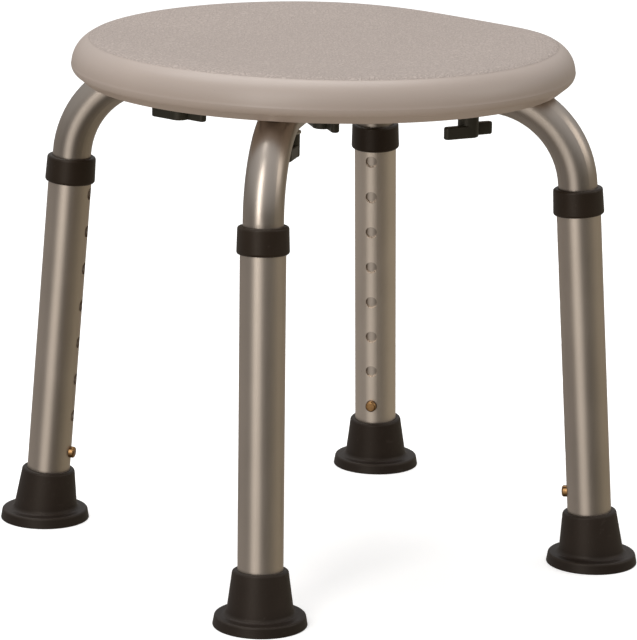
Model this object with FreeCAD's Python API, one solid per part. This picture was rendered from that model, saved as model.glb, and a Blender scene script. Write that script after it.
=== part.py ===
import FreeCAD, Part
import math
import os

from FreeCAD import Placement, Rotation, Vector

# Round shower stool with four telescoping legs. Millimetres, +Z up. The origin is on the
# floor, on the stool's axis, and the legs stand on the diagonals.

# Legs: the leg frame has its z along the leg, from the floor, and its x away from the stool's axis
LEG_ANGLES = {"front_left": -135.0, "front_right": -45.0, "rear_right": 45.0, "rear_left": 135.0}
FOOT_CIRCLE_R = 186.0
SPLAY = 4.0

# Each leg's bend stands a little out of its tube's plane, counter-clockwise seen from the rim
LEG_TWISTS = {"front_left": 1.3, "front_right": -0.3, "rear_right": -0.4, "rear_left": 0.6}

# Upper tubes: two tubes, each bent down to a leg at both ends, that cross under the seat
TUBE_OD = 25.4
TUBE_WALL = 1.4
TUBE_AXIS_Z = 307.3
BEND_R = 60.0
TUBE_END = 25.0
FLAT_GAP = 0.2
FLAT_HALF_LENGTH = 20.0
FLAT_TRANSITION = 30.0

# Lower tubes, with one height-setting hole per inch
LEG_TUBE_OD = 28.6
LEG_TUBE_ID = 25.6
LEG_TUBE_BOTTOM = 10.0
LEG_TUBE_TOP = 243.0
HOLE_COUNT = 8
HOLE_PITCH = 25.4
FIRST_HOLE = 47.8
HOLE_R = 4.0

# Snap buttons: a domed head on a spring strip that hooks under the upper tube's end
BUTTON_R = 3.8
BUTTON_HOLE_R = 3.9
BUTTON_REACH = 17.5
BUTTON_DOME = 1.3
STRIP_WIDTH = 7.0
STRIP_THICKNESS = 0.6
STRIP_FACE = 10.6
STRIP_TOP = 56.0
STRIP_HOOK = 1.6

# Collars at the top of the lower tubes
COLLAR_BOTTOM = 232.5
COLLAR_TOP = 250.0
COLLAR_BOTTOM_OD = 33.0
COLLAR_TOP_OD = 32.0
COLLAR_ROUND = 1.8
SLIDING_FIT = 0.1

# Rubber feet with a steel washer under the tube
FOOT_HEIGHT = 35.0
FOOT_TOP_OD = 35.0
FOOT_CONE_OD = 42.5
FOOT_ROUND = 2.0
FLANGE_OD = 59.4
FLANGE_TOP_OD = 57.0
FLANGE_HEIGHT = 7.0
FLANGE_ROUND = 1.6
FLANGE_FILLET = 3.0
SOLE_EDGE = 0.6
TREAD_RADII = (12.0, 18.0, 24.0)
TREAD_WIDTH = 2.0
TREAD_DEPTH = 1.5
FOOT_WASHER_HEIGHT = 2.0

# Blow-moulded seat: two walls around an air space, with channels for the tubes
SEAT_TOP = 336.5
SEAT_BOTTOM = 308.5
SEAT_R = 162.8
SEAT_WALL = 3.0
TOP_ROUND = 18.0
LOWER_ROUND = 6.0
FLANK_TURN = 50.0
CHANNEL_R = 13.2
CHANNEL_DEPTH = 16.0
CROSSING_HALF_LENGTH = 52.0
CROSSING_WIDTH = 34.0
CROSSING_RISE = 0.5
BOSS_R = 9.0
DRAIN_R = 3.0
DRAIN_CIRCLE_R = 70.0

# Wing knobs that clamp the tubes to the seat: one by each leg and one at the crossing
KNOB_CIRCLE_R = 96.0
KNOB_TURNS = {"front_left": -137.5, "front_right": -5.0, "rear_right": 20.0, "rear_left": -72.0}
CENTRE_KNOB_TURN = -106.7
KNOB_BOTTOM = 278.0
WING_TOP = 286.2
HUB_R = 6.8
WING_REACH = 19.5
WING_WIDTH = 5.6
WING_OFFSET = 3.7
WING_ROUND = 1.2
STUD_R = 3.0
STUD_HOLE_R = 3.3
STUD_BOTTOM = 281.0
STUD_TOP = 329.0
WASHER_R = 7.5
WASHER_HEIGHT = 1.2
INSERT_R = 4.8
INSERT_HEIGHT = 10.0

UP = Vector(0, 0, 1)
TUBE_R = TUBE_OD / 2
TUBE_BORE_R = TUBE_R - TUBE_WALL
LEG_TUBE_R = LEG_TUBE_OD / 2
LEG_BORE_R = LEG_TUBE_ID / 2
FLAT_HEIGHT = (TUBE_OD - FLAT_GAP) / 2
FLAT_WIDTH = FLAT_HEIGHT + math.pi * (TUBE_OD - FLAT_HEIGHT) / 2
CHANNEL_ROOF = TUBE_AXIS_Z + CHANNEL_R

# The bend turns the leg's direction into the horizontal, so the level of the tube under the
# seat fixes where the bend starts on the leg
splay = math.radians(SPLAY)
BEND_START = (TUBE_AXIS_Z - BEND_R * (1 - math.sin(splay))) / math.cos(splay)
BEND_CENTRE = Vector(
    FOOT_CIRCLE_R - BEND_START * math.sin(splay) - BEND_R * math.cos(splay), 0, TUBE_AXIS_Z - BEND_R
)


def turned(shape, angle):
    """The shape turned about the stool's axis."""
    return moved(shape, Placement(Vector(), Rotation(UP, angle)))


def moved(shape, placement):
    result = shape.copy()
    result.Placement = placement.multiply(result.Placement)
    return result


def leg_place(leg):
    """Where the leg frame lies for a leg along +X: splayed, and turned about the tube's
    horizontal run by the leg's twist."""
    splayed = Placement(Vector(FOOT_CIRCLE_R, 0, 0), Rotation(Vector(0, 1, 0), -SPLAY))
    return twist(leg).multiply(splayed)


def twist(leg):
    return Placement(Vector(), Rotation(Vector(1, 0, 0), LEG_TWISTS[leg]), Vector(0, 0, TUBE_AXIS_Z))


def tilted(shape, leg):
    """The shape, built in the leg frame, put on the leg while that stands along +X."""
    return moved(shape, leg_place(leg))


def fused(shapes):
    return shapes[0].multiFuse(shapes[1:]).removeSplitter()


def disc(radius, bottom, top, at=(0, 0)):
    return Part.makeCylinder(radius, top - bottom, Vector(at[0], at[1], bottom))


def ring(outer, inner, bottom, top):
    return disc(outer, bottom, top).cut(disc(inner, bottom, top))


def ring_edge(shape, z, radius):
    """The full circle at this height and radius."""
    found = [
        edge
        for edge in shape.Edges
        if isinstance(edge.Curve, Part.Circle)
        and abs(edge.Curve.Radius - radius) < 1e-6
        and abs(edge.Curve.Center.z - z) < 1e-6
    ]
    return found[0]


# Upper tubes


def section(width, height, x, z):
    """A closed outline across the tube at x: flat above and below, and round at both sides. A
    width equal to the height gives a circle, cut at the same four places."""
    half = (width - height) / 2
    r = height / 2
    corner = math.sqrt(0.5) if half == 0 else 1.0
    side = r if half == 0 else half
    top = [Vector(x, y, z + r * corner) for y in (-side * corner, side * corner)]
    bottom = [Vector(x, y, z - r * corner) for y in (side * corner, -side * corner)]
    if half == 0:
        over = Part.Arc(top[0], Vector(x, 0, z + r), top[1]).toShape()
        under = Part.Arc(bottom[0], Vector(x, 0, z - r), bottom[1]).toShape()
    else:
        over = Part.makeLine(top[0], top[1])
        under = Part.makeLine(bottom[0], bottom[1])
    right = Part.Arc(top[1], Vector(x, half + r, z), bottom[0]).toShape()
    left = Part.Arc(bottom[1], Vector(x, -half - r, z), top[0]).toShape()
    return Part.Wire([over, right, under, left])


def bar(radius, end, flat_width, flat_height, flat_side, leg):
    """Half of a bent tube as a solid bar, from the stool's axis to its end on the leg, along +X.
    flat_side is +1 or -1: the side on which the middle keeps its full height."""
    flat_z = TUBE_AXIS_Z + flat_side * (TUBE_R - FLAT_HEIGHT / 2)
    flat_start = FLAT_HALF_LENGTH + FLAT_TRANSITION
    flat = Part.Face(section(flat_width, flat_height, 0, flat_z)).extrude(Vector(FLAT_HALF_LENGTH, 0, 0))
    transition = Part.makeLoft(
        [
            section(flat_width, flat_height, FLAT_HALF_LENGTH, flat_z),
            section(2 * radius, 2 * radius, flat_start, TUBE_AXIS_Z),
        ],
        True,
        True,
    )
    run = Part.makeCylinder(
        radius, BEND_CENTRE.x - flat_start, Vector(flat_start, 0, TUBE_AXIS_Z), Vector(1, 0, 0)
    )
    bend_face = Part.Face(section(2 * radius, 2 * radius, BEND_CENTRE.x, TUBE_AXIS_Z))
    bend = moved(bend_face.revolve(BEND_CENTRE, Vector(0, 1, 0), 90 - SPLAY), twist(leg))
    shank = tilted(disc(radius, end, BEND_START), leg)
    return fused([flat, transition, run, bend, shank])


def tube_half(flat_side, leg):
    outside = bar(TUBE_R, TUBE_END, FLAT_WIDTH, FLAT_HEIGHT, flat_side, leg)
    bore_width = FLAT_WIDTH - 2 * TUBE_WALL
    bore_height = FLAT_HEIGHT - 2 * TUBE_WALL
    inside = bar(TUBE_BORE_R, TUBE_END - 1, bore_width, bore_height, flat_side, leg)
    button_hole = Part.makeCylinder(BUTTON_HOLE_R, TUBE_OD, Vector(0, 0, FIRST_HOLE), Vector(-1, 0, 0))
    return outside.cut([inside, tilted(button_hole, leg)])


def frame_tube(flat_side, leg, far_leg):
    """A whole bent tube along X, with holes for its studs and snap buttons."""
    tube = fused([tube_half(flat_side, leg), turned(tube_half(flat_side, far_leg), 180)])
    places = [(-KNOB_CIRCLE_R, 0), (0, 0), (KNOB_CIRCLE_R, 0)]
    return tube.cut([disc(STUD_HOLE_R, KNOB_BOTTOM, SEAT_TOP, at) for at in places])


# Seat


def seat_body(inset):
    """The seat's outer form, shrunk on all sides by inset."""
    top_centre = Vector(SEAT_R - TOP_ROUND, 0, SEAT_TOP - TOP_ROUND)
    low_centre = Vector(SEAT_R - LOWER_ROUND, 0, top_centre.z)
    top_r = TOP_ROUND - inset
    low_r = LOWER_ROUND - inset
    flank = math.radians(FLANK_TURN)

    def on_arc(centre, radius, angle):
        return centre + Vector(radius * math.cos(angle), 0, radius * math.sin(angle))

    flank_start = on_arc(low_centre, low_r, -flank)
    floor_z = SEAT_BOTTOM + inset
    flank_end = Vector(flank_start.x - (flank_start.z - floor_z) * math.tan(flank), 0, floor_z)
    rim = on_arc(top_centre, top_r, 0)
    crown = on_arc(top_centre, top_r, math.pi / 2)
    edges = [
        Part.makeLine(Vector(0, 0, floor_z), flank_end),
        Part.makeLine(flank_end, flank_start),
        Part.Arc(flank_start, on_arc(low_centre, low_r, -flank / 2), rim).toShape(),
        Part.Arc(rim, on_arc(top_centre, top_r, math.pi / 4), crown).toShape(),
        Part.makeLine(crown, Vector(0, 0, crown.z)),
        Part.makeLine(Vector(0, 0, crown.z), Vector(0, 0, floor_z)),
    ]
    return Part.Face(Part.Wire(edges)).revolve(Vector(), UP, 360)


def channel(margin):
    """The space of the tube channel to the leg along +X, an arch that is open below."""
    r = CHANNEL_R + margin
    foot = TUBE_AXIS_Z - CHANNEL_DEPTH

    def arch(x):
        left = Vector(x, -r, TUBE_AXIS_Z)
        right = Vector(x, r, TUBE_AXIS_Z)
        low_left = Vector(x, -r, foot)
        low_right = Vector(x, r, foot)
        return Part.Face(
            Part.Wire(
                [
                    Part.Arc(left, Vector(x, 0, TUBE_AXIS_Z + r), right).toShape(),
                    Part.makeLine(right, low_right),
                    Part.makeLine(low_right, low_left),
                    Part.makeLine(low_left, left),
                ]
            )
        )

    run = arch(0).extrude(Vector(BEND_CENTRE.x, 0, 0))
    bend = arch(BEND_CENTRE.x).revolve(BEND_CENTRE, Vector(0, 1, 0), 90)
    return fused([run, bend])


def crossing(margin):
    """The wider and slightly higher pocket around the flattened middle of one tube."""
    length = 2 * (CROSSING_HALF_LENGTH + margin)
    width = CROSSING_WIDTH + 2 * margin
    height = CHANNEL_R + CROSSING_RISE + CHANNEL_DEPTH + margin
    return Part.makeBox(
        length, width, height, Vector(-length / 2, -width / 2, TUBE_AXIS_Z - CHANNEL_DEPTH)
    )


def channels(margin):
    parts = [turned(channel(margin), angle) for angle in LEG_ANGLES.values()]
    parts += [turned(crossing(margin), angle) for angle in (45, 135)]
    return parts


def stud_places():
    places = [(0.0, 0.0)]
    for angle in LEG_ANGLES.values():
        a = math.radians(angle)
        places.append((KNOB_CIRCLE_R * math.cos(a), KNOB_CIRCLE_R * math.sin(a)))
    return places


def seat():
    bosses = [disc(BOSS_R, SEAT_BOTTOM, SEAT_TOP, at) for at in stud_places()]
    air = seat_body(SEAT_WALL).cut(channels(SEAT_WALL) + bosses)
    sockets = [disc(INSERT_R, SEAT_BOTTOM, CHANNEL_ROOF + INSERT_HEIGHT, at) for at in stud_places()]
    drains = [
        turned(disc(DRAIN_R, SEAT_BOTTOM - 1, SEAT_BOTTOM + SEAT_WALL + 1, (DRAIN_CIRCLE_R, 0)), angle)
        for angle in (0, 90, 180, 270)
    ]
    return seat_body(0).cut(channels(0) + [air] + sockets + drains)


def seat_inserts():
    """Threaded inserts in the seat's bosses, which the studs screw into."""
    insert = ring(INSERT_R, STUD_R + SLIDING_FIT, CHANNEL_ROOF, CHANNEL_ROOF + INSERT_HEIGHT)
    return Part.makeCompound([insert.translated(Vector(x, y, 0)) for x, y in stud_places()])


def knob_washers():
    top = TUBE_AXIS_Z - TUBE_R - FLAT_GAP
    washer = ring(WASHER_R, STUD_HOLE_R, top - WASHER_HEIGHT, top)
    return Part.makeCompound([washer.translated(Vector(x, y, 0)) for x, y in stud_places()])


# Wing knobs, built on the stool's axis


def wing_knob():
    hub_top = TUBE_AXIS_Z - TUBE_R - WASHER_HEIGHT - 2 * FLAT_GAP
    hub = disc(HUB_R, KNOB_BOTTOM, hub_top)
    hub = hub.makeFillet(WING_ROUND, [ring_edge(hub, KNOB_BOTTOM, HUB_R)])
    tip = WING_REACH - WING_WIDTH / 2
    height = WING_TOP - KNOB_BOTTOM
    blade = Part.makeBox(tip, WING_WIDTH, height, Vector(0, WING_OFFSET - WING_WIDTH / 2, KNOB_BOTTOM))
    wing = fused([blade, disc(WING_WIDTH / 2, KNOB_BOTTOM, WING_TOP, (tip, WING_OFFSET))])
    outline = [e for e in wing.Edges if abs(e.BoundBox.ZLength) < 1e-6 and e.BoundBox.XMax > 1]
    wing = wing.makeFillet(WING_ROUND, outline)
    knob = fused([hub, wing, turned(wing, 180)])
    return knob.cut(disc(STUD_R, STUD_BOTTOM, hub_top))


def knob_stud():
    return disc(STUD_R, STUD_BOTTOM, STUD_TOP)


# Lower legs, built in the leg frame


def leg_tube():
    tube = ring(LEG_TUBE_R, LEG_BORE_R, LEG_TUBE_BOTTOM, LEG_TUBE_TOP)
    holes = [
        Part.makeCylinder(HOLE_R, LEG_TUBE_OD, Vector(0, 0, FIRST_HOLE + i * HOLE_PITCH), Vector(-1, 0, 0))
        for i in range(HOLE_COUNT)
    ]
    return tube.cut(holes)


def collar():
    outer = Part.makeCone(
        COLLAR_BOTTOM_OD / 2, COLLAR_TOP_OD / 2, COLLAR_TOP - COLLAR_BOTTOM, Vector(0, 0, COLLAR_BOTTOM)
    )
    rims = [
        ring_edge(outer, COLLAR_BOTTOM, COLLAR_BOTTOM_OD / 2),
        ring_edge(outer, COLLAR_TOP, COLLAR_TOP_OD / 2),
    ]
    outer = outer.makeFillet(COLLAR_ROUND, rims)
    socket = disc(LEG_TUBE_R, COLLAR_BOTTOM, LEG_TUBE_TOP)
    lip = disc(TUBE_R + SLIDING_FIT, LEG_TUBE_TOP, COLLAR_TOP)
    return outer.cut([socket, lip])


def foot(leg):
    """The rubber foot in the stool's frame, with the leg along +X: its flange lies level on
    the floor and its socket follows the leg."""
    centre = Vector(leg_place(leg).Base.x, leg_place(leg).Base.y, 0)
    flange = Part.makeCone(FLANGE_OD / 2, FLANGE_TOP_OD / 2, FLANGE_HEIGHT, centre)
    flange = flange.makeFillet(FLANGE_ROUND, [ring_edge(flange, FLANGE_HEIGHT, FLANGE_TOP_OD / 2)])
    flange = flange.makeFillet(SOLE_EDGE, [ring_edge(flange, 0, FLANGE_OD / 2)])
    base = FLANGE_HEIGHT / 2
    slope = (FOOT_CONE_OD - FOOT_TOP_OD) / (FOOT_HEIGHT - FLANGE_HEIGHT) / 2
    base_r = FOOT_TOP_OD / 2 + slope * (FOOT_HEIGHT - base)
    cone = Part.makeCone(base_r, FOOT_TOP_OD / 2, FOOT_HEIGHT - base, Vector(0, 0, base))
    cone = cone.makeFillet(FOOT_ROUND, [ring_edge(cone, FOOT_HEIGHT, FOOT_TOP_OD / 2)])
    body = fused([flange, tilted(cone, leg)])
    seam = [
        edge
        for edge in body.Edges
        if abs(edge.BoundBox.ZMax - FLANGE_HEIGHT) < 1e-3
        and edge.BoundBox.ZLength < 1e-3
        and FOOT_TOP_OD / 2 < edge.BoundBox.YLength / 2 < FLANGE_TOP_OD / 2 - 2 * FLANGE_ROUND
    ]
    body = body.makeFillet(FLANGE_FILLET, seam)
    socket = tilted(disc(LEG_TUBE_R, LEG_TUBE_BOTTOM - FOOT_WASHER_HEIGHT, FOOT_HEIGHT + 1), leg)
    treads = [
        ring(r + TREAD_WIDTH / 2, r - TREAD_WIDTH / 2, -1, TREAD_DEPTH).translated(centre)
        for r in TREAD_RADII
    ]
    return body.cut([socket] + treads)


def foot_washer():
    return disc(LEG_TUBE_R, LEG_TUBE_BOTTOM - FOOT_WASHER_HEIGHT, LEG_TUBE_BOTTOM)


def snap_button():
    """One strip of spring bronze with the button's head formed on it."""
    inner_face = STRIP_FACE - STRIP_THICKNESS
    head = Part.makeCylinder(
        BUTTON_R, BUTTON_REACH - inner_face, Vector(-inner_face, 0, FIRST_HOLE), Vector(-1, 0, 0)
    )
    crown = [e for e in head.Edges if abs(e.BoundBox.XMax + BUTTON_REACH) < 1e-6]
    head = head.makeFillet(BUTTON_DOME, crown)
    hook_z = TUBE_END - STRIP_THICKNESS
    strip = Part.makeBox(
        STRIP_THICKNESS, STRIP_WIDTH, STRIP_TOP - hook_z, Vector(-STRIP_FACE, -STRIP_WIDTH / 2, hook_z)
    )
    hook = Part.makeBox(
        STRIP_HOOK, STRIP_WIDTH, STRIP_THICKNESS, Vector(-STRIP_FACE - STRIP_HOOK, -STRIP_WIDTH / 2, hook_z)
    )
    return fused([head, strip, hook])


def nodes():
    """Every piece in its place, by name."""
    pieces = {
        "seat": seat(),
        "seat_inserts": seat_inserts(),
        "knob_washers": knob_washers(),
        "frame_tube_upper": turned(frame_tube(+1, "front_right", "rear_left"), LEG_ANGLES["front_right"]),
        "frame_tube_lower": turned(frame_tube(-1, "rear_right", "front_left"), LEG_ANGLES["rear_right"]),
    }
    leg_pieces = {
        "leg_tube": leg_tube(),
        "leg_collar": collar(),
        "foot_washer": foot_washer(),
        "snap_button": snap_button(),
    }
    knob_pieces = {"wing_knob": wing_knob(), "knob_stud": knob_stud()}
    for kind, shape in leg_pieces.items():
        for leg, angle in LEG_ANGLES.items():
            pieces[f"{kind}_{leg}"] = turned(tilted(shape, leg), angle)
    for leg, angle in LEG_ANGLES.items():
        pieces[f"foot_{leg}"] = turned(foot(leg), angle)
    for kind, shape in knob_pieces.items():
        pieces[f"{kind}_centre"] = turned(shape, CENTRE_KNOB_TURN)
        for leg, angle in LEG_ANGLES.items():
            at_radius = turned(shape, KNOB_TURNS[leg] - angle).translated(Vector(KNOB_CIRCLE_R, 0, 0))
            pieces[f"{kind}_{leg}"] = turned(at_radius, angle)
    return pieces


def main():
    os.makedirs("parts", exist_ok=True)
    for name, shape in nodes().items():
        print(name, shape.isValid(), len(shape.Solids), round(shape.Volume, 1))
        shape.exportStep(f"parts/{name}.step")


main()
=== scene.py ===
import math

import bmesh
import bpy
from mathutils import Matrix, Vector


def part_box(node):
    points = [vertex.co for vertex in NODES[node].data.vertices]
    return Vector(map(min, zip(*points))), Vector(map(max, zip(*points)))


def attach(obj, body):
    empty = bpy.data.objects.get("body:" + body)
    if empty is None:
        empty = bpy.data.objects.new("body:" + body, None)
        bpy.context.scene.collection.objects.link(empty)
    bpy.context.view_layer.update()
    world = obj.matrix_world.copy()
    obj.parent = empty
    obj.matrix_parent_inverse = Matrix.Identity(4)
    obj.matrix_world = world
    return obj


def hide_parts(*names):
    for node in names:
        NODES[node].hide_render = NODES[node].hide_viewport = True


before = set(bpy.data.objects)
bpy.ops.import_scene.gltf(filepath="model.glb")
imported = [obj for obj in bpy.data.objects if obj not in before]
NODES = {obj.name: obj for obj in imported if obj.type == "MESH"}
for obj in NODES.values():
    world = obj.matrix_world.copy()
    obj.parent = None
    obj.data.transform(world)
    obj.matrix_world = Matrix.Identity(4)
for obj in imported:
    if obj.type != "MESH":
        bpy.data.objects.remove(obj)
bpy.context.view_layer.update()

# The looks of the shower stool: the studio, the moulded seat, and the materials. Metres, in the
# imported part's own frame: floor at z = 0, the stool's axis at x = y = 0.

MM = 0.001
LEGS = ("front_left", "front_right", "rear_right", "rear_left")
LEG_ANGLES = dict(zip(LEGS, (-135.0, -45.0, 45.0, 135.0)))


# ---------------------------------------------------------------- mesh helpers


def new_object(name, mesh):
    obj = bpy.data.objects.new(name, mesh)
    bpy.context.scene.collection.objects.link(obj)
    return obj


def mesh_object(name, vertices, faces):
    mesh = bpy.data.meshes.new(name)
    mesh.from_pydata(vertices, [], faces)
    mesh.validate()
    return new_object(name, mesh)


def lathe(name, profile, segments, closed=True):
    """A solid of revolution about the stool's axis. profile runs from the top centre outwards
    as (radius, height). A closed one ends at the bottom centre, and an open one at its last ring."""
    rings = profile[1:-1] if closed else profile[1:]
    vertices = [(0, 0, profile[0][1])]
    for r, z in rings:
        for i in range(segments):
            a = 2 * math.pi * i / segments
            vertices.append((r * math.cos(a), r * math.sin(a), z))
    if closed:
        vertices.append((0, 0, profile[-1][1]))
    last = len(vertices) - 1
    faces = []
    for i in range(segments):
        j = (i + 1) % segments
        faces.append((0, 1 + i, 1 + j))
        for k in range(len(rings) - 1):
            a = 1 + k * segments
            b = a + segments
            faces.append((a + i, b + i, b + j, a + j))
        if closed:
            a = 1 + (len(rings) - 1) * segments
            faces.append((a + j, a + i, last))
    return mesh_object(name, vertices, faces)


def arc(centre, radius, start, end, steps):
    """Points on an arc in the (radius, height) plane, from angle start to end in degrees."""
    points = []
    for i in range(steps + 1):
        a = math.radians(start + (end - start) * i / steps)
        points.append((centre[0] + radius * math.cos(a), centre[1] + radius * math.sin(a)))
    return points


def apply_modifiers(obj):
    depsgraph = bpy.context.evaluated_depsgraph_get()
    mesh = bpy.data.meshes.new_from_object(obj.evaluated_get(depsgraph))
    obj.modifiers.clear()
    obj.data = mesh


def carve(obj, cutters):
    """Cuts the cutters out of obj, one after the other, and deletes them."""
    for cutter in cutters:
        modifier = obj.modifiers.new("carve", "BOOLEAN")
        modifier.operation = "DIFFERENCE"
        modifier.solver = "EXACT"
        modifier.object = cutter
        apply_modifiers(obj)
        bpy.data.objects.remove(cutter)


def shade(obj, angle=35.0):
    obj.data.shade_smooth()
    obj.data.set_sharp_from_angle(angle=math.radians(angle))


# ---------------------------------------------------------------- studio


FLOOR_HALF = 8.0


def studio_floor():
    """A pale level sheet, wide enough for every view from well above it. It isn't mirrored in the
    tubes and throws no light on the stool: the world and the lights stand in for both."""
    corners = [(-FLOOR_HALF, -FLOOR_HALF, 0), (FLOOR_HALF, -FLOOR_HALF, 0)]
    corners += [(FLOOR_HALF, FLOOR_HALF, 0), (-FLOOR_HALF, FLOOR_HALF, 0)]
    floor = mesh_object("studio_floor", corners, [(0, 1, 2, 3)])
    floor.data.materials.append(floor_paint())
    floor.visible_glossy = False
    floor.visible_diffuse = False


def floor_paint():
    material = bpy.data.materials.new("studio_floor_paint")
    material.use_nodes = True
    shader = material.node_tree.nodes["Principled BSDF"]
    shader.inputs["Base Color"].default_value = (0.80, 0.795, 0.785, 1)
    shader.inputs["Roughness"].default_value = 0.9
    shader.inputs["Specular IOR Level"].default_value = 0.0
    shader.inputs["Emission Color"].default_value = (1.0, 1.0, 1.0, 1)
    shader.inputs["Emission Strength"].default_value = 0.5
    return material


def soft_light(name, place, target, size, power, colour):
    data = bpy.data.lights.new(name, "AREA")
    data.shape = "RECTANGLE"
    data.size, data.size_y = size
    data.energy = power
    data.color = colour
    obj = bpy.data.objects.new(name, data)
    bpy.context.scene.collection.objects.link(obj)
    obj.location = place
    obj.rotation_euler = (Vector(target) - Vector(place)).to_track_quat("-Z", "Y").to_euler()
    return obj


# The camera stands a little to the right of the front left leg, and looks slightly down
VIEW_AZIMUTH = -32.60
VIEW_ELEVATION = 14.08
VIEW_ROLL = 1.04
VIEW_DISTANCE = 2.5832
VIEW_TARGET = Vector((-0.0002, 0.0001, 0.1494))
LENS = 221.33


def camera():
    data = bpy.data.cameras.new("camera")
    data.lens = LENS
    data.sensor_width = 36.0
    data.clip_start = 0.05
    obj = bpy.data.objects.new("camera", data)
    bpy.context.scene.collection.objects.link(obj)
    azimuth = math.radians(VIEW_AZIMUTH - 90)
    elevation = math.radians(VIEW_ELEVATION)
    level = math.cos(elevation)
    away = Vector((level * math.cos(azimuth), level * math.sin(azimuth), math.sin(elevation)))
    obj.location = VIEW_TARGET + VIEW_DISTANCE * away
    turn = away.to_track_quat("Z", "Y").to_matrix() @ Matrix.Rotation(math.radians(VIEW_ROLL), 3, "Z")
    obj.rotation_euler = turn.to_euler()
    bpy.context.scene.camera = obj


# ---------------------------------------------------------------- seat

SEAT_LOW, SEAT_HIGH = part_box("seat")
SEAT_R = SEAT_HIGH.x
SEAT_TOP = SEAT_HIGH.z
SEAT_BOTTOM = SEAT_LOW.z
TOP_ROUND = 18.0 * MM
LOWER_ROUND = 6.0 * MM
FLANK_TURN = 50.0
FLANK_CREASE = 0.22 * MM
GRAIN_ANGLE = 67.5
GRAIN_PROUD = 0.16 * MM
GRAIN_ZONE_DEPTH = 6.0 * MM
DISH_DEPTH = 1.6 * MM
DISH_FLAT_SHARE = 0.35
PARTING_BEAD = 0.05 * MM
PARTING_HALF_WIDTH = 0.35 * MM
PARTING_GROOVE = 0.02 * MM
CROWN_STEPS = 30
BASE_ROUND = 1.2 * MM
LID_RISE = 6.0 * MM
LID_INSET = 12.0 * MM
UNDERSIDE_RING_R = 60.0 * MM
SEAT_SEGMENTS = 288

TUBE_AXIS_Z = 307.3 * MM
BEND_R = 60.0 * MM
BEND_CENTRE_R = 108.5 * MM
CHANNEL_R = 13.2 * MM
CHANNEL_DEPTH = 16.0 * MM
CHANNEL_TURN = 75
CHANNEL_TURN_STEP = 3
CROSSING_HALF = (52.0 * MM, 17.0 * MM)
LIP = 1.3 * MM
LIP_HALF_LENGTH = 150.0 * MM
DRAIN_R = 3.0 * MM
DRAIN_DEPTH = 16.0 * MM
DRAIN_CIRCLE_R = 70.0 * MM


def smoothstep(low, high, value):
    t = min(max((value - low) / (high - low), 0.0), 1.0)
    return t * t * (3 - 2 * t)


def crown_profile():
    """The seat's upper half from its centre to the rim: a shallow dish, the step where the
    grain ends, and the smooth roll down to the mould's parting line."""
    crown_r = SEAT_R - TOP_ROUND
    centre = (crown_r, SEAT_TOP - TOP_ROUND)
    points = []
    for i in range(CROWN_STEPS):
        r = crown_r * i / CROWN_STEPS
        points.append((r, SEAT_TOP - DISH_DEPTH * (1 - smoothstep(DISH_FLAT_SHARE * crown_r, crown_r, r))))
    points += arc(centre, TOP_ROUND, 90, GRAIN_ANGLE, 8)
    points += arc(centre, TOP_ROUND - GRAIN_PROUD, GRAIN_ANGLE - 1.0, 3.0, 22)
    points.append((SEAT_R - PARTING_GROOVE, centre[1] + PARTING_HALF_WIDTH))
    points.append((SEAT_R + PARTING_BEAD, centre[1]))
    return points


def base_profile(lid_z):
    """The seat's lower half from a lid above the channels, round the parting line, to the
    centre of its underside."""
    centre = (SEAT_R - LOWER_ROUND, SEAT_TOP - TOP_ROUND)
    points = [(0, lid_z), (SEAT_R - LID_INSET, lid_z), (SEAT_R + PARTING_BEAD, centre[1])]
    points.append((SEAT_R - PARTING_GROOVE, centre[1] - PARTING_HALF_WIDTH))
    points += arc(centre, LOWER_ROUND, -6, -FLANK_TURN, 10)
    flank = math.radians(FLANK_TURN)
    start = points[-1]
    points.append((start[0] - FLANK_CREASE, start[1] - 0.4 * FLANK_CREASE))
    drop = start[1] - SEAT_BOTTOM
    end_r = start[0] - drop * math.tan(flank)
    points.append((end_r + BASE_ROUND * math.sin(flank), SEAT_BOTTOM + BASE_ROUND * math.cos(flank)))
    points.append((end_r + 0.2 * BASE_ROUND, SEAT_BOTTOM + 0.3 * BASE_ROUND))
    points.append((end_r - BASE_ROUND, SEAT_BOTTOM))
    points += [(UNDERSIDE_RING_R, SEAT_BOTTOM), (0, SEAT_BOTTOM)]
    return points


def prism(name, outline, x_low, x_high, angle):
    """A closed bar along X from a (y, z) outline, turned about the stool's axis."""
    n = len(outline)
    vertices = [(x, y, z) for x in (x_low, x_high) for y, z in outline]
    faces = [tuple(range(n)), tuple(reversed(range(n, 2 * n)))]
    faces += [(i, n + i, n + (i + 1) % n, (i + 1) % n) for i in range(n)]
    obj = mesh_object(name, vertices, faces)
    obj.data.transform(Matrix.Rotation(math.radians(angle), 4, "Z"))
    face_outward(obj)
    return obj


def face_outward(obj):
    bm = bmesh.new()
    bm.from_mesh(obj.data)
    bmesh.ops.recalc_face_normals(bm, faces=bm.faces)
    bm.to_mesh(obj.data)
    bm.free()


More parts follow.
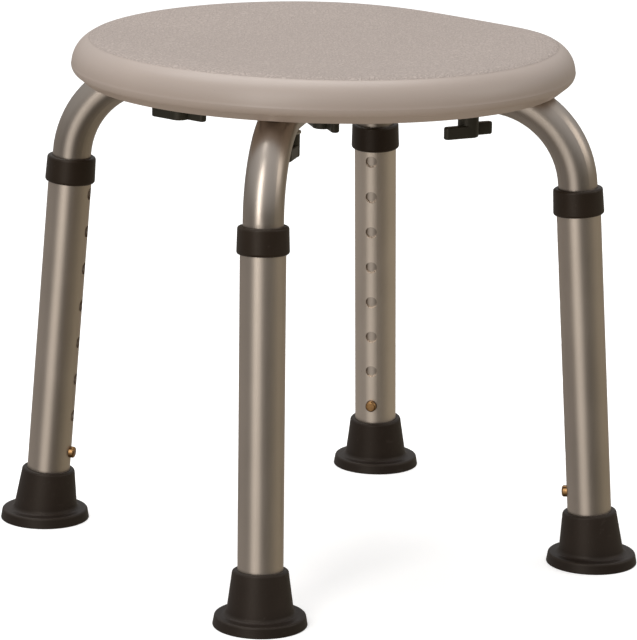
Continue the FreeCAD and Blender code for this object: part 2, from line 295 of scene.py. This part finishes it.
def channel_cutter(angle):
    """The arch of one tube's channel, from the stool's axis out along the bend."""
    arch = [
        (CHANNEL_R * math.cos(math.radians(a)), CHANNEL_R * math.sin(math.radians(a)))
        for a in range(0, 181, 6)
    ]
    section = [(CHANNEL_R, -CHANNEL_DEPTH)] + arch + [(-CHANNEL_R, -CHANNEL_DEPTH)]
    n = len(section)
    stations = [(0.0, 0.0)]
    stations += [(BEND_CENTRE_R, float(t)) for t in range(0, CHANNEL_TURN + 1, CHANNEL_TURN_STEP)]
    vertices = []
    for x, turn in stations:
        t = math.radians(turn)
        for y, out in section:
            reach = BEND_R + out
            vertices.append(
                (x + reach * math.sin(t), y, TUBE_AXIS_Z - BEND_R + reach * math.cos(t))
            )
    faces = [tuple(range(n)), tuple(reversed(range(len(vertices) - n, len(vertices))))]
    for k in range(len(stations) - 1):
        a, b = k * n, (k + 1) * n
        faces += [(a + i, b + i, b + (i + 1) % n, a + (i + 1) % n) for i in range(n)]
    obj = mesh_object("cutter", vertices, faces)
    obj.data.transform(Matrix.Rotation(math.radians(angle), 4, "Z"))
    face_outward(obj)
    return obj


def lip_cutter(half_length, half_width, angle):
    """A shallow bevel around a straight channel's mouth in the seat's flat underside."""
    outline = [
        (-half_width - LIP, SEAT_BOTTOM - LIP / 2),
        (half_width + LIP, SEAT_BOTTOM - LIP / 2),
        (half_width, SEAT_BOTTOM + LIP),
        (-half_width, SEAT_BOTTOM + LIP),
    ]
    return prism("cutter", outline, -half_length, half_length, angle)


def pocket_cutter(angle):
    """The wider pocket around a flattened tube's middle. Known fault: after this cut a block in
    the cutter's shape hangs below the seat's underside at the crossing, and the seat's mesh
    isn't closed there."""
    half_length, half_width = CROSSING_HALF
    outline = [
        (-half_width, TUBE_AXIS_Z - CHANNEL_DEPTH),
        (half_width, TUBE_AXIS_Z - CHANNEL_DEPTH),
        (half_width, TUBE_AXIS_Z + CHANNEL_R),
        (-half_width, TUBE_AXIS_Z + CHANNEL_R),
    ]
    return prism("cutter", outline, -half_length, half_length, angle)


def drain_cutter(angle, mouth_r, depth):
    """A round cutter across the underside at one drain hole, mouth_r at its lower end."""
    bm = bmesh.new()
    bmesh.ops.create_cone(
        bm, cap_ends=True, segments=32, radius1=mouth_r, radius2=DRAIN_R, depth=depth
    )
    to_drain = Matrix.Translation((DRAIN_CIRCLE_R, 0, SEAT_BOTTOM))
    at = Matrix.Rotation(math.radians(angle), 4, "Z") @ to_drain
    bmesh.ops.transform(bm, matrix=at, verts=bm.verts)
    mesh = bpy.data.meshes.new("cutter")
    bm.to_mesh(mesh)
    bm.free()
    return new_object("cutter", mesh)


def seat_base():
    """The lower half, with its channels and drain holes. Its lid is a working surface for the
    cuts, and is taken off at the end."""
    lid_z = TUBE_AXIS_Z + CHANNEL_R + LID_RISE
    base = lathe("seat_base", base_profile(lid_z), SEAT_SEGMENTS)
    face_outward(base)
    carve(base, [lip_cutter(LIP_HALF_LENGTH, CHANNEL_R, angle) for angle in (45, 135)])
    carve(base, [lip_cutter(CROSSING_HALF[0] + LIP, CROSSING_HALF[1], angle) for angle in (45, 135)])
    carve(base, [channel_cutter(angle) for angle in LEG_ANGLES.values()])
    carve(base, [pocket_cutter(angle) for angle in (45, 135)])
    for angle in (0, 90, 180, 270):
        mouth = drain_cutter(angle, DRAIN_R + LIP, 2 * LIP)
        carve(base, [mouth, drain_cutter(angle, DRAIN_R, DRAIN_DEPTH)])
    bm = bmesh.new()
    bm.from_mesh(base.data)
    lid = [f for f in bm.faces if max(v.co.z for v in f.verts) > lid_z - 0.1 * MM]
    bmesh.ops.delete(bm, geom=lid, context="FACES")
    bm.to_mesh(base.data)
    bm.free()
    return base


def seat_crown():
    """The upper half, an open shell down to the parting line."""
    return lathe("seat_crown", crown_profile(), SEAT_SEGMENTS, closed=False)


# The rim isn't quite level, as moulded seats are: it stands up a little over the front left leg,
# and dips behind on the right. Each is a lift, its angle, and the spread of the angle.
RIM_LIFTS = ((2.7 * MM, -137.0, 75.0), (-3.9 * MM, 13.0, 27.5))
RIM_LIFT_START_R = 80.0 * MM
RIM_LIFT_FULL_R = 148.0 * MM


def settle_rim(mesh):
    for vertex in mesh.vertices:
        co = vertex.co
        share = smoothstep(RIM_LIFT_START_R, RIM_LIFT_FULL_R, math.hypot(co.x, co.y))
        for lift, angle, spread in RIM_LIFTS:
            off = (math.degrees(math.atan2(co.y, co.x)) - angle + 180) % 360 - 180
            co.z += lift * share * math.exp(-((off / spread) ** 2))


def build_seat():
    crown = seat_crown()
    base = seat_base()
    bm = bmesh.new()
    bm.from_mesh(crown.data)
    bm.from_mesh(base.data)
    bmesh.ops.remove_doubles(bm, verts=bm.verts, dist=0.01 * MM)
    bmesh.ops.recalc_face_normals(bm, faces=bm.faces)
    mesh = bpy.data.meshes.new("moulded_seat")
    bm.to_mesh(mesh)
    bm.free()
    bpy.data.objects.remove(crown)
    bpy.data.objects.remove(base)
    settle_rim(mesh)
    seat = new_object("moulded_seat", mesh)
    shade(seat, 32)
    mesh.materials.append(seat_smooth())
    mesh.materials.append(seat_grain())
    grain_edge = SEAT_R - TOP_ROUND + TOP_ROUND * math.cos(math.radians(GRAIN_ANGLE)) + 0.01 * MM
    for polygon in mesh.polygons:
        c = polygon.center
        polygon.material_index = int(c.z > SEAT_TOP - GRAIN_ZONE_DEPTH and math.hypot(c.x, c.y) < grain_edge)
    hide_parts("seat")
    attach(seat, "seat_frame")
    return seat


# ---------------------------------------------------------------- materials


class Nodes:
    """Makes the nodes of one tree. add() makes a node and wires its inputs: a value that is an
    output socket is linked, and any other is set."""

    def __init__(self, tree):
        self.tree = tree

    def add(self, kind, inputs=None, **settings):
        node = self.tree.nodes.new(kind)
        for key, value in settings.items():
            setattr(node, key, value)
        self.wire(node, inputs or {})
        return node

    def wire(self, node, inputs):
        for key, value in inputs.items():
            socket = node.inputs[key]
            if isinstance(value, bpy.types.NodeSocket):
                self.tree.links.new(value, socket)
            else:
                socket.default_value = value

    def ramp(self, fac, stops):
        """A colour ramp through (position, colour) stops; a colour may be one grey value."""
        node = self.add("ShaderNodeValToRGB", {"Fac": fac})
        elements = node.color_ramp.elements
        while len(elements) < len(stops):
            elements.new(0.5)
        for element, (position, colour) in zip(elements, stops):
            element.position = position
            element.color = (*colour, 1) if isinstance(colour, tuple) else (colour, colour, colour, 1)
        return node.outputs["Color"]

    def tint(self, fac, colour_a, colour_b, blend="MIX"):
        node = self.add("ShaderNodeMix", data_type="RGBA", blend_type=blend)
        self.wire(node, {0: fac, 6: colour_a, 7: colour_b})
        return node.outputs[2]


class Paint(Nodes):
    """A node material around one Principled shader."""

    def __init__(self, name):
        self.material = bpy.data.materials.new(name)
        self.material.use_nodes = True
        super().__init__(self.material.node_tree)
        self.shader = self.tree.nodes["Principled BSDF"]

    def place(self):
        return self.add("ShaderNodeTexCoord").outputs["Object"]

    def stretched(self, scale):
        """Object coordinates, scaled along each axis."""
        return self.add("ShaderNodeMapping", {"Vector": self.place(), "Scale": scale}).outputs["Vector"]

    def noise(self, scale, detail=2.0, roughness=0.5, vector=None):
        node = self.add("ShaderNodeTexNoise", {"Scale": scale, "Detail": detail, "Roughness": roughness})
        self.wire(node, {"Vector": vector or self.place()})
        return node.outputs["Fac"]

    def math(self, operation, a, b=0.0, clamp=False):
        node = self.add("ShaderNodeMath", operation=operation, use_clamp=clamp)
        self.wire(node, {0: a, 1: b})
        return node.outputs[0]

    def between(self, fac, low, high):
        """low to high as fac goes from 0 to 1."""
        node = self.add("ShaderNodeMapRange", {"Value": fac, "To Min": low, "To Max": high})
        return node.outputs["Result"]

    def bump(self, height, distance, strength=1.0, normal=None):
        node = self.add("ShaderNodeBump", {"Height": height, "Distance": distance, "Strength": strength})
        if normal is not None:
            self.wire(node, {"Normal": normal})
        return node.outputs["Normal"]

    def specks(self, scale, size, vector=None):
        """1 in scattered small spots, about size of a cell across, and 0 elsewhere."""
        node = self.add("ShaderNodeTexVoronoi", {"Scale": scale, "Randomness": 1.0})
        self.wire(node, {"Vector": vector or self.place()})
        return self.ramp(node.outputs["Distance"], [(0.0, 1.0), (size, 0.0)])

    def finish(self, **inputs):
        names = {key: key.replace("_", " ") for key in inputs}
        self.wire(self.shader, {names[key]: value for key, value in inputs.items()})
        return self.material


def srgb(red, green, blue):
    """A colour from its display values, 0 to 255."""

    def linear(value):
        c = value / 255
        return c / 12.92 if c <= 0.04045 else ((c + 0.055) / 1.055) ** 2.4

    return (linear(red), linear(green), linear(blue))


def rgba(colour):
    return (*colour, 1.0)


SEAT_COLOUR = srgb(175, 161, 152)


def seat_smooth():
    """The satin rim and underside: faint flow marks, dust in the pores, tiny dark flecks."""
    paint = Paint("seat_plastic_smooth")
    clouds = paint.noise(14.0, 3.0)
    flow = paint.noise(1.0, 4.0, vector=paint.stretched((40.0, 40.0, 420.0)))
    base = paint.ramp(clouds, [(0.3, tuple(0.95 * c for c in SEAT_COLOUR)), (0.7, SEAT_COLOUR)])
    warm = paint.tint(paint.between(flow, 0.0, 0.16), base, rgba(srgb(176, 158, 138)))
    flecks = paint.specks(95.0, 0.035)
    colour = paint.tint(paint.math("MULTIPLY", flecks, 0.5), warm, rgba(srgb(120, 104, 88)))
    roughness = paint.between(paint.noise(60.0, 4.0), 0.34, 0.46)
    fine = paint.noise(900.0, 2.0)
    normal = paint.bump(fine, 0.03 * MM, 0.5)
    normal = paint.bump(flow, 0.05 * MM, 0.5, normal)
    return paint.finish(Base_Color=colour, Roughness=roughness, Normal=normal, Specular_IOR_Level=0.5)


def seat_grain():
    """The top's worm-track grain: winding ridges about a millimetre apart, with painted shade darkening the
    grooves between them.
    """
    paint = Paint("seat_plastic_grain")
    swirl = paint.noise(430.0, 1.0, 0.4)
    track = paint.math("ABSOLUTE", paint.math("SUBTRACT", swirl, 0.5))
    ridge = paint.ramp(track, [(0.0, 0.0), (0.05, 0.35), (0.14, 1.0)])
    clouds = paint.noise(11.0, 4.0)
    wear = paint.ramp(clouds, [(0.32, tuple(0.94 * c for c in SEAT_COLOUR)), (0.68, SEAT_COLOUR)])
    # painted shade: the grain's grooves get a darker colour than its ridges
    groove_painted_shade = tuple(0.78 * c for c in SEAT_COLOUR)
    colour = paint.tint(ridge, rgba(groove_painted_shade), wear)
    roughness = paint.between(ridge, 0.62, 0.46)
    normal = paint.bump(ridge, 0.34 * MM, 1.0)
    return paint.finish(Base_Color=colour, Roughness=roughness, Normal=normal, Specular_IOR_Level=0.4)


def aluminium(name, colour, rough_low, rough_high, speck_strength):
    """Satin anodised tube: fine drawing lines along it, cloudy sheen, nicks and specks."""
    paint = Paint(name)
    lines = paint.noise(1.0, 3.0, 0.6, paint.stretched((900.0, 900.0, 30.0)))
    clouds = paint.noise(26.0, 4.0)
    nicks = paint.specks(70.0, 0.045)
    pits = paint.specks(210.0, 0.04)
    flaws = paint.math("MAXIMUM", nicks, pits)
    sheen = paint.ramp(clouds, [(0.3, tuple(0.93 * c for c in colour)), (0.7, colour)])
    dark = paint.math("MULTIPLY", flaws, speck_strength)
    tone = paint.tint(dark, sheen, rgba(srgb(96, 84, 70)))
    roughness = paint.math(
        "ADD", paint.between(lines, rough_low, rough_high), paint.math("MULTIPLY", clouds, 0.05)
    )
    normal = paint.bump(paint.noise(2200.0, 2.0), 0.002 * MM, 0.3)
    normal = paint.bump(flaws, -0.08 * MM, 0.5, normal)
    return paint.finish(Base_Color=tone, Metallic=1.0, Roughness=roughness, Normal=normal)


def moulded(name, colour, rough_low, rough_high, grain_scale, grain_depth, gloss=0.4, dust=0.12):
    """Dark moulded plastic or rubber: fine skin, cloudy gloss, dust in the low places, scuffs."""
    paint = Paint(name)
    clouds = paint.noise(45.0, 4.0)
    skin = paint.noise(grain_scale, 3.0, 0.6)
    powder = paint.noise(170.0, 5.0, 0.7)
    lighter = tuple(min(1.0, 1.7 * c + 0.012) for c in colour)
    base = paint.ramp(clouds, [(0.35, colour), (0.75, tuple(1.25 * c for c in colour))])
    dusty = paint.ramp(powder, [(0.56, 0.0), (0.78, dust)])
    tone = paint.tint(dusty, base, rgba(lighter))
    rubbed = paint.noise(1.0, 2.0, 0.5, paint.stretched((90.0, 700.0, 260.0)))
    scuff = paint.ramp(rubbed, [(0.66, 0.0), (0.72, 0.35)])
    tone = paint.tint(scuff, tone, rgba(lighter))
    roughness = paint.between(clouds, rough_low, rough_high)
    normal = paint.bump(skin, grain_depth, 0.6)
    return paint.finish(
        Base_Color=tone,
        Roughness=roughness,
        Normal=normal,
        Specular_IOR_Level=gloss,
        Specular_Tint=(1.0, 0.88, 0.78, 1.0),
    )


def metal(name, colour, rough_low, rough_high, stain):
    """Small metal pieces: brushed, a little uneven, with stains."""
    paint = Paint(name)
    brushed = paint.noise(1.0, 3.0, 0.6, paint.stretched((900.0, 900.0, 120.0)))
    clouds = paint.noise(240.0, 4.0)
    tone = paint.ramp(clouds, [(0.35, stain), (0.65, colour)])
    roughness = paint.between(brushed, rough_low, rough_high)
    normal = paint.bump(clouds, 0.03 * MM, 0.4)
    return paint.finish(Base_Color=tone, Metallic=1.0, Roughness=roughness, Normal=normal)


def dress(prefixes, material):
    """Gives every CAD node whose name starts with one of prefixes this material."""
    for name, obj in NODES.items():
        if name.startswith(prefixes):
            obj.data.materials.clear()
            obj.data.materials.append(material)


def dress_tubes():
    """The frame tubes get a darker, glossier copy of the leg tubes' aluminium, whose darker colour is
    painted shade for the seat's shadow over them. The rear right leg tube gets a paler, rougher copy, whose
    paler colour is painted light for the brighter light on that leg.
    """
    # painted shade: the frame tubes' aluminium is darker than the leg tubes', standing in for the seat's
    # shadow over them
    dress(("frame_tube",), aluminium("tube_satin", (0.50, 0.435, 0.375), 0.28, 0.34, 0.6))
    dress(("leg_tube",), aluminium("leg_tube_satin", (0.64, 0.555, 0.475), 0.33, 0.39, 0.5))
    # painted light: a paler copy of the leg tubes' aluminium, standing in for the brighter light on the rear
    # right leg
    pale = aluminium("leg_tube_painted_lighter", (0.80, 0.70, 0.60), 0.40, 0.46, 0.5)
    dress(("leg_tube_rear_right",), pale)


def dress_mouldings():
    collar = moulded("collar_plastic_satin", srgb(36, 28, 21), 0.34, 0.5, 1400.0, 0.02 * MM, 0.3)
    rubber = moulded("foot_rubber_satin", srgb(36, 29, 24), 0.42, 0.56, 1100.0, 0.03 * MM, 0.3)
    knob = moulded("knob_plastic_satin", srgb(50, 50, 44), 0.32, 0.46, 1500.0, 0.015 * MM)
    dress(("leg_collar",), collar)
    dress(("foot_front", "foot_rear"), rubber)
    dress(("wing_knob",), knob)


def dress_metal():
    steel = metal("plated_steel", (0.56, 0.55, 0.52), 0.25, 0.4, (0.42, 0.40, 0.36))
    brass = metal("turned_brass", (0.72, 0.52, 0.26), 0.2, 0.35, (0.5, 0.34, 0.16))
    bronze = metal("button_bronze", (0.42, 0.24, 0.10), 0.28, 0.4, (0.20, 0.11, 0.05))
    dress(("knob_stud", "knob_washers", "foot_washer"), steel)
    dress(("seat_inserts",), brass)
    dress(("snap_button",), bronze)


# ---------------------------------------------------------------- the scene


# How bright the room is along the line towards the camera's place, from 0 behind the stool
# to 1 there, and the bright patch that the tubes mirror as their long highlight
ROOM_DEPTH = [(0.0, 0.40), (0.5, 0.36), (0.75, 0.22), (0.9, 0.12)]
GLOW_TOWARD = (-0.42, 0.87, -0.25)
GLOW = [(0.94, 0.0), (0.985, (0.85, 0.82, 0.78))]


def world_light():
    """A soft room for the lights to work in: bright above and dim below the horizon, where the
    tubes mirror it, darkest towards the camera's place, cooler on the left and warmer on the
    right. It is fixed to the room and doesn't turn with the camera."""
    world = bpy.data.worlds.new("studio_room")
    bpy.context.scene.world = world
    world.use_nodes = True
    nodes = Nodes(world.node_tree)
    place = nodes.add("ShaderNodeTexCoord").outputs["Generated"]

    def along(direction):
        """0 to 1 from the far side of the room to the side that direction points at."""
        dot = nodes.add("ShaderNodeVectorMath", {0: place, 1: direction}, operation="DOT_PRODUCT")
        scaled = nodes.add("ShaderNodeMapRange", {"Value": dot.outputs["Value"], "From Min": -1.0})
        return scaled.outputs["Result"]

    sideways = nodes.ramp(
        along(from_camera(1, 0, 0)),
        [(0.1, (1.0, 0.95, 0.91)), (0.5, (1.0, 0.91, 0.80)), (0.9, (1.0, 0.89, 0.68))],
    )
    depth = nodes.ramp(along(from_camera(0, 1, 0)), ROOM_DEPTH)
    glow = nodes.ramp(along(unit(from_camera(*GLOW_TOWARD))), GLOW)
    low = nodes.tint(1.0, sideways, depth, "MULTIPLY")
    low = nodes.tint(1.0, low, glow, "ADD")
    high = nodes.ramp(along((0, 0, 1)), [(0.5, 0.45), (0.85, (0.75, 0.76, 0.78))])
    lift = nodes.ramp(along((0, 0, 1)), [(0.5, 0.0), (0.62, 1.0)])
    background = world.node_tree.nodes["Background"]
    nodes.wire(background, {"Color": nodes.tint(lift, low, high), "Strength": 0.8})


def unit(vector):
    return tuple(Vector(vector).normalized())


def from_camera(right, toward, up):
    """A place given from the camera's side: metres to its right, toward it, and up."""
    a = math.radians(VIEW_AZIMUTH)
    return (
        right * math.cos(a) + toward * math.sin(a),
        right * math.sin(a) - toward * math.cos(a),
        up,
    )


def lights():
    """A tall key on the left, a weak warm fill on the right, a broad lamp overhead, and a warm one
    just above the floor for the light that a pale floor throws up."""
    aim = (0, 0, 0.25)
    key = from_camera(-0.85, 1.75, 1.15)
    fill = from_camera(2.4, 0.2, 1.3)
    top = from_camera(-0.3, -0.5, 2.3)
    soft_light("key_softbox", key, aim, (0.55, 1.9), 16, (1.0, 0.985, 0.96))
    soft_light("fill_softbox", fill, aim, (1.2, 1.2), 6, (1.0, 0.93, 0.84))
    soft_light("top_softbox", top, aim, (2.0, 1.6), 30, (1.0, 1.0, 1.0))
    low = from_camera(-0.5, 0.4, 0.004)
    straight_up = from_camera(-0.5, 0.4, 1.0)
    bounce = soft_light("floor_bounce", low, straight_up, (2.4, 2.4), 7, (1.0, 0.86, 0.70))
    bounce.visible_camera = False
    bounce.visible_glossy = False


camera()
studio_floor()
world_light()
lights()
build_seat()
dress_tubes()
dress_mouldings()
dress_metal()
bpy.context.scene.view_settings.view_transform = "Standard"
